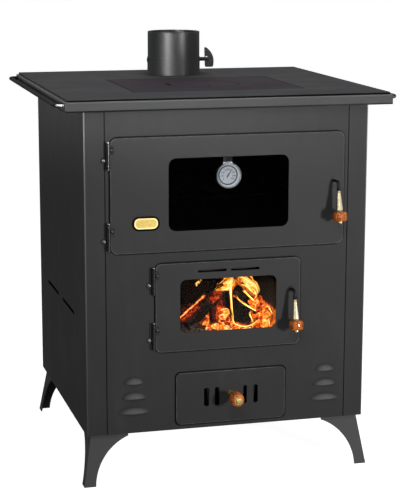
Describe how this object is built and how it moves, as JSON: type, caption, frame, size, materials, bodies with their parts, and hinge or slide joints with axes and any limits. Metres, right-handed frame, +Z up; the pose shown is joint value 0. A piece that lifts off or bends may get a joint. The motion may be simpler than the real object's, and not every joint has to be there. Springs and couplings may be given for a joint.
{
  "type": "wood cookstove",
  "caption": "Freestanding wood cookstove: oven over firebox, ash drawer, hob with lift-out plates, flue spigot with damper, side rails, splayed sheet legs.",
  "frame": {"origin": "on the floor, under the middle of the whole bounding box", "axes": "+Z up, -Y out of the front with the doors, +X to the right when facing the front"},
  "size_m": [0.783, 0.7246, 0.975],
  "materials": {
    "black_sheet": "matte heat-proof black paint",
    "hob_steel": "blackened steel plate",
    "cast_iron": "blackened casting",
    "inner_steel": "plain sheet steel",
    "bright_steel": "plated steel",
    "firebrick": "light vermiculite brick",
    "rope": "woven glass-fibre rope",
    "window_glass": "clear ceramic glass",
    "brass": "polished brass",
    "turned_wood": "amber lacquered turned wood",
    "burning_wood": "charred logs and embers",
    "dial_face": "pale enamel dial",
    "needle_red": "dark red paint"
  },
  "bodies": {
    "stove": {"side_shell_left": "black_sheet", "side_shell_right": "black_sheet", "front_panel": "black_sheet", "back_panel": "black_sheet", "back_screws": "bright_steel", "base_plate": "black_sheet", "hob_frame": "black_sheet", "hob_rope": "rope", "hob_plate": "hob_steel", "rail_left": "black_sheet", "rail_right": "black_sheet", "flue_spigot": "black_sheet", "oven_box": "inner_steel", "oven_rack": "bright_steel", "firebox": "inner_steel", "firebricks": "firebrick", "grate": "cast_iron", "ash_box": "inner_steel", "smoke_casing": "inner_steel", "firewood": "burning_wood", "leg_front_left": "black_sheet", "leg_front_right": "black_sheet", "leg_rear_left": "black_sheet", "leg_rear_right": "black_sheet", "leg_bolts": "bright_steel", "hinge_brackets": "black_sheet", "hinge_pins": "bright_steel", "hinge_screws": "bright_steel"},
    "hob_inset": {"hob_inset": "cast_iron"},
    "hob_lid": {"hob_lid": "cast_iron"},
    "damper": {"damper_spindle": "black_sheet", "damper_plate": "black_sheet", "damper_key": "black_sheet"},
    "oven_door": {"oven_door_panel": "black_sheet", "oven_door_glass": "window_glass", "oven_glass_clips": "inner_steel", "oven_door_rope": "rope", "oven_door_knuckles": "black_sheet", "badge_bezel": "black_sheet", "badge_plate": "brass", "thermometer_case": "bright_steel", "thermometer_dial": "dial_face", "thermometer_lens": "window_glass"},
    "thermometer_needle": {"thermometer_needle": "needle_red"},
    "oven_latch": {"oven_latch_spindle": "black_sheet", "oven_handle_shank": "brass", "oven_handle_bead": "turned_wood"},
    "firebox_door": {"firebox_door_panel": "black_sheet", "firebox_door_glass": "window_glass", "firebox_glass_clips": "inner_steel", "firebox_door_rope": "rope", "firebox_door_knuckles": "black_sheet"},
    "air_slide": {"air_slide": "inner_steel"},
    "firebox_latch": {"firebox_latch_spindle": "black_sheet", "firebox_handle_shank": "brass", "firebox_handle_bead": "turned_wood"},
    "ash_drawer": {"ash_drawer_front": "black_sheet", "ash_tray": "inner_steel", "drawer_knob_stem": "brass", "drawer_knob_bead": "turned_wood"}
  },
  "joints": [
    {"name": "oven_door_hinge", "type": "hinge", "parent": "stove", "child": "oven_door", "pos_m": [-0.2727, -0.30015, 0.6545], "axis": [0, 0, -1], "range_deg": [0, 110]},
    {"name": "oven_latch_turn", "type": "hinge", "parent": "oven_door", "child": "oven_latch", "pos_m": [0.2467, -0.29815, 0.6713], "axis": [0, 1, 0], "range_deg": [0, 90]},
    {"name": "thermometer_needle_turn", "type": "hinge", "parent": "oven_door", "child": "thermometer_needle", "pos_m": [0.002, -0.27965, 0.69], "axis": [0, 1, 0], "range_deg": [-160, 100], "stiffness_Nm_per_rad": 0.001},
    {"name": "firebox_door_hinge", "type": "hinge", "parent": "stove", "child": "firebox_door", "pos_m": [-0.1727, -0.30015, 0.3995], "axis": [0, 0, -1], "range_deg": [0, 110]},
    {"name": "firebox_latch_turn", "type": "hinge", "parent": "firebox_door", "child": "firebox_latch", "pos_m": [0.1477, -0.29815, 0.4277], "axis": [0, 1, 0], "range_deg": [0, 90]},
    {"name": "air_slide_travel", "type": "slide", "parent": "firebox_door", "child": "air_slide", "axis": [1, 0, 0], "range_m": [0, 0.02]},
    {"name": "ash_drawer_travel", "type": "slide", "parent": "stove", "child": "ash_drawer", "axis": [0, -1, 0], "range_m": [0, 0.3]},
    {"name": "damper_turn", "type": "hinge", "parent": "stove", "child": "damper", "pos_m": [0.007, 0.23435, 0.905], "axis": [1, 0, 0], "range_deg": [0, 90]},
    {"name": "hob_inset_lift", "type": "slide", "parent": "stove", "child": "hob_inset", "axis": [0, 0, 1], "range_m": [0, 0.15]},
    {"name": "hob_lid_lift", "type": "slide", "parent": "hob_inset", "child": "hob_lid", "axis": [0, 0, 1], "range_m": [0, 0.1]}
  ]
}
